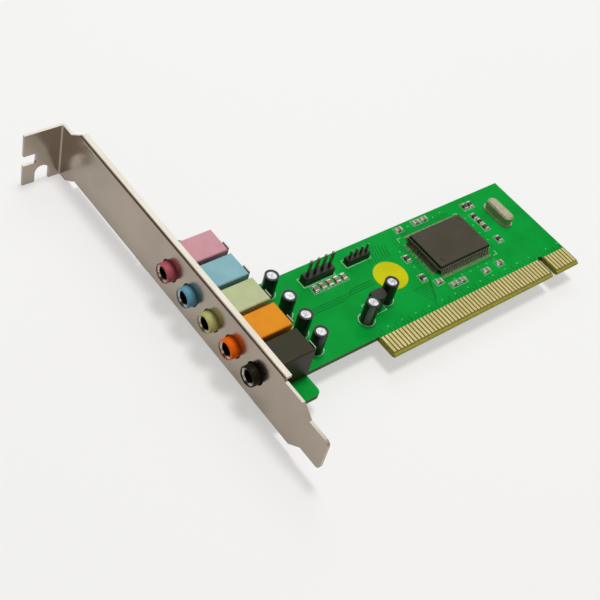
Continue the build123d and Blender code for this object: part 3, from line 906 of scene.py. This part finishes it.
def sleeve_stripe(capacitor, facing):
    """The grey stripe down a sleeve: a slice of a tube, given a thickness."""
    low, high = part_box(f"{capacitor}_sleeve")
    middle = (low + high) / 2
    radius = (high.x - low.x) / 2 + stripe_height
    deselected()
    length = (high.z - low.z) * stripe_share
    bpy.ops.mesh.primitive_cylinder_add(
        vertices=72, radius=radius, depth=length, end_fill_type="NOTHING", location=middle
    )
    bpy.ops.object.transform_apply(location=True, rotation=True, scale=True)
    bpy.ops.object.mode_set(mode="EDIT")
    toward = direction(facing, 0)
    limit = math.cos(math.radians(stripe_angle))
    faces_by(lambda place, normal: normal.dot(toward) < limit)
    bpy.ops.mesh.delete(type="FACE")
    bpy.ops.object.mode_set(mode="OBJECT")
    stripe = bpy.context.object
    skin = stripe.modifiers.new("skin", "SOLIDIFY")
    skin.thickness = stripe_thickness
    skin.offset = -1
    bpy.ops.object.modifier_apply(modifier="skin")
    bpy.ops.object.shade_smooth_by_angle(angle=math.radians(40))
    return stripe


def sleeve_stripes(material):
    """The stripe of every capacitor, each on its own side."""
    stripes = [sleeve_stripe(capacitor, facing) for capacitor, facing in zip(capacitors, stripe_facings)]
    keep(joined(stripes), "sleeve_stripes", material)


def vent_score():
    """Unit vent score: two flat bars that cross in the middle of the can's top."""
    deselected()
    bpy.ops.mesh.primitive_cube_add(size=1)
    bpy.ops.object.mode_set(mode="EDIT")
    bpy.ops.mesh.select_all(action="SELECT")
    bpy.ops.transform.resize(value=(1, 0.1, 1))
    bpy.ops.mesh.duplicate()
    bpy.ops.transform.rotate(value=math.pi / 2, orient_axis="Z", center_override=(0, 0, 0))
    bpy.ops.object.mode_set(mode="OBJECT")
    return bpy.context.object


def vent_scores(material):
    """The score on top of every can."""
    places = []
    for capacitor in capacitors:
        low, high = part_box(f"{capacitor}_can")
        width = (high.x - low.x) * score_share
        middle = Vector(((low.x + high.x) / 2, (low.y + high.y) / 2, high.z))
        places.append((middle, Vector((width, width, score_height)), score_turn))
    keep(stamped(vent_score(), places), "vent_scores", material)


def add_detail():
    """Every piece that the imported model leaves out, each with its finish."""
    flange_bend(bpy.data.materials["satin_steel"])
    solder_joints(tinned("solder", (0.52, 0.52, 0.50), (0.74, 0.74, 0.72), rough=0.24))
    solder_fillets(bpy.data.materials["end_caps"])
    chip_pads(bpy.data.materials["chip_tin"])
    tracks(moulded("track_gap", (0.001, 0.10, 0.012), (0.002, 0.14, 0.018), gloss=0.05))
    vias(moulded("covered_via", (0.03, 0.42, 0.10), (0.05, 0.50, 0.15), gloss=0.1))
    legend(moulded("legend_ink", (0.30, 0.58, 0.34), (0.40, 0.68, 0.44), rough=0.6, gloss=0.1))
    sleeve_stripes(moulded("stripe_ink", (0.10, 0.10, 0.105), (0.15, 0.15, 0.155), rough=0.3))
    vent_scores(tinned("score_shade", (0.28, 0.28, 0.27), (0.36, 0.36, 0.35), rough=0.5))


add_detail()


# Floor, light and camera

floor_size = 6.0
floor_drop = 0.02 * mm
floor_glow = 0.55
tent_share = 0.3
flag_azimuth = 150
flag_elevation = 31
flag_width = 0.95
flag_distance = 1.2
photo_azimuth = -50.994
photo_elevation = 46.851
photo_roll = 17.817
photo_lens = 69.506
photo_place = Vector((-185.87, -148.04, 231.33)) * mm


def rays_that_see(tree):
    """1 for rays that show a thing, straight or in a shiny surface, 0 for rays that carry its light."""
    rays = tree.nodes.new("ShaderNodeLightPath")
    seen = summed(tree, rays.outputs["Is Camera Ray"], rays.outputs["Is Glossy Ray"])
    return summed(tree, seen, rays.outputs["Is Transmission Ray"])


def lay_floor():
    """A pale floor; seen directly or in a shiny surface it glows a little, so that its shadow is faint."""
    deselected()
    bpy.ops.mesh.primitive_plane_add(size=floor_size, location=(0, 0, -floor_drop))
    floor = bpy.context.object
    floor.name = "floor"
    material, tree, shader = finish("pale_floor", rough=0.9)
    shader.inputs["Specular IOR Level"].default_value = 0.1
    tone = grain(tree, 0.004, detail=2.0)
    paint = shades(tree, tone, (0.905, 0.895, 0.88), (0.92, 0.905, 0.89))
    tree.links.new(paint, shader.inputs["Base Color"])
    glow = tree.nodes.new("ShaderNodeEmission")
    tree.links.new(paint, glow.inputs["Color"])
    share = tree.nodes.new("ShaderNodeMath")
    share.operation = "MULTIPLY"
    share.inputs[1].default_value = floor_glow
    tree.links.new(rays_that_see(tree), share.inputs[0])
    blend = tree.nodes.new("ShaderNodeMixShader")
    tree.links.new(share.outputs["Value"], blend.inputs["Fac"])
    tree.links.new(shader.outputs["BSDF"], blend.inputs[1])
    tree.links.new(glow.outputs["Emission"], blend.inputs[2])
    tree.links.new(blend.outputs["Shader"], tree.nodes["Material Output"].inputs["Surface"])
    floor.data.materials.append(material)


def stand_flag():
    """A dark card that only shiny surfaces see; it draws the dark line on the bend of the sheet."""
    out = direction(flag_azimuth, flag_elevation)
    deselected()
    turn = out.to_track_quat("-Z", "Y").to_euler()
    bpy.ops.mesh.primitive_plane_add(size=flag_width, location=out * flag_distance, rotation=turn)
    flag = bpy.context.object
    flag.name = "flag"
    material, tree, shader = finish("dark_card", rough=0.9)
    tone = grain(tree, 0.01)
    tree.links.new(shades(tree, tone, (0.17, 0.13, 0.09), (0.22, 0.17, 0.125)), shader.inputs["Base Color"])
    flag.data.materials.append(material)
    flag.visible_camera = False
    flag.visible_diffuse = False
    flag.visible_shadow = False


def softbox(name, azimuth, elevation, distance, width, power, colour=(1, 1, 1)):
    """A square lamp that faces the card."""
    lamp = bpy.data.lights.new(name, "AREA")
    lamp.shape = "SQUARE"
    lamp.size = width
    lamp.energy = power
    lamp.color = colour
    holder = bpy.data.objects.new(name, lamp)
    bpy.context.scene.collection.objects.link(holder)
    out = direction(azimuth, elevation)
    holder.location = out * distance
    holder.rotation_mode = "QUATERNION"
    holder.rotation_quaternion = (-out).to_track_quat("-Z", "Y")
    return holder


def light_room():
    """A pale tent that lights less than it shows, a cool softbox behind and a lamp overhead."""
    world = bpy.data.worlds.new("room")
    world.use_nodes = True
    tree = world.node_tree
    height = parts_of(tree, "Generated")[2]
    tent = shades(tree, height, (0.33, 0.30, 0.27), (0.95, 0.94, 0.925), low=0.05, high=0.55)
    tree.links.new(tent, tree.nodes["Background"].inputs["Color"])
    strength = tree.nodes.new("ShaderNodeMapRange")
    strength.inputs["To Min"].default_value = tent_share
    strength.inputs["To Max"].default_value = 1.0
    tree.links.new(rays_that_see(tree), strength.inputs["Value"])
    tree.links.new(strength.outputs["Result"], tree.nodes["Background"].inputs["Strength"])
    bpy.context.scene.world = world
    cool = (0.76, 0.93, 1.02)
    softbox("softbox", azimuth=60, elevation=48, distance=1.0, width=0.6, power=2.0, colour=cool)
    softbox("overhead", azimuth=45, elevation=83, distance=1.2, width=0.28, power=9.0)


def place_camera():
    """The camera where the photograph was taken from."""
    camera = bpy.data.objects.new("camera", bpy.data.cameras.new("camera"))
    bpy.context.scene.collection.objects.link(camera)
    camera.data.sensor_width = 36
    camera.data.lens = photo_lens
    camera.data.clip_start = 0.01
    camera.data.clip_end = 20
    turn = Matrix.Rotation(math.radians(photo_azimuth), 4, "Z")
    tilt = Matrix.Rotation(math.radians(90 - photo_elevation), 4, "X")
    roll = Matrix.Rotation(math.radians(photo_roll), 4, "Z")
    camera.matrix_world = Matrix.Translation(photo_place) @ turn @ tilt @ roll
    bpy.context.scene.camera = camera


lay_floor()
stand_flag()
light_room()
place_camera()
bpy.context.scene.view_settings.view_transform = "Standard"
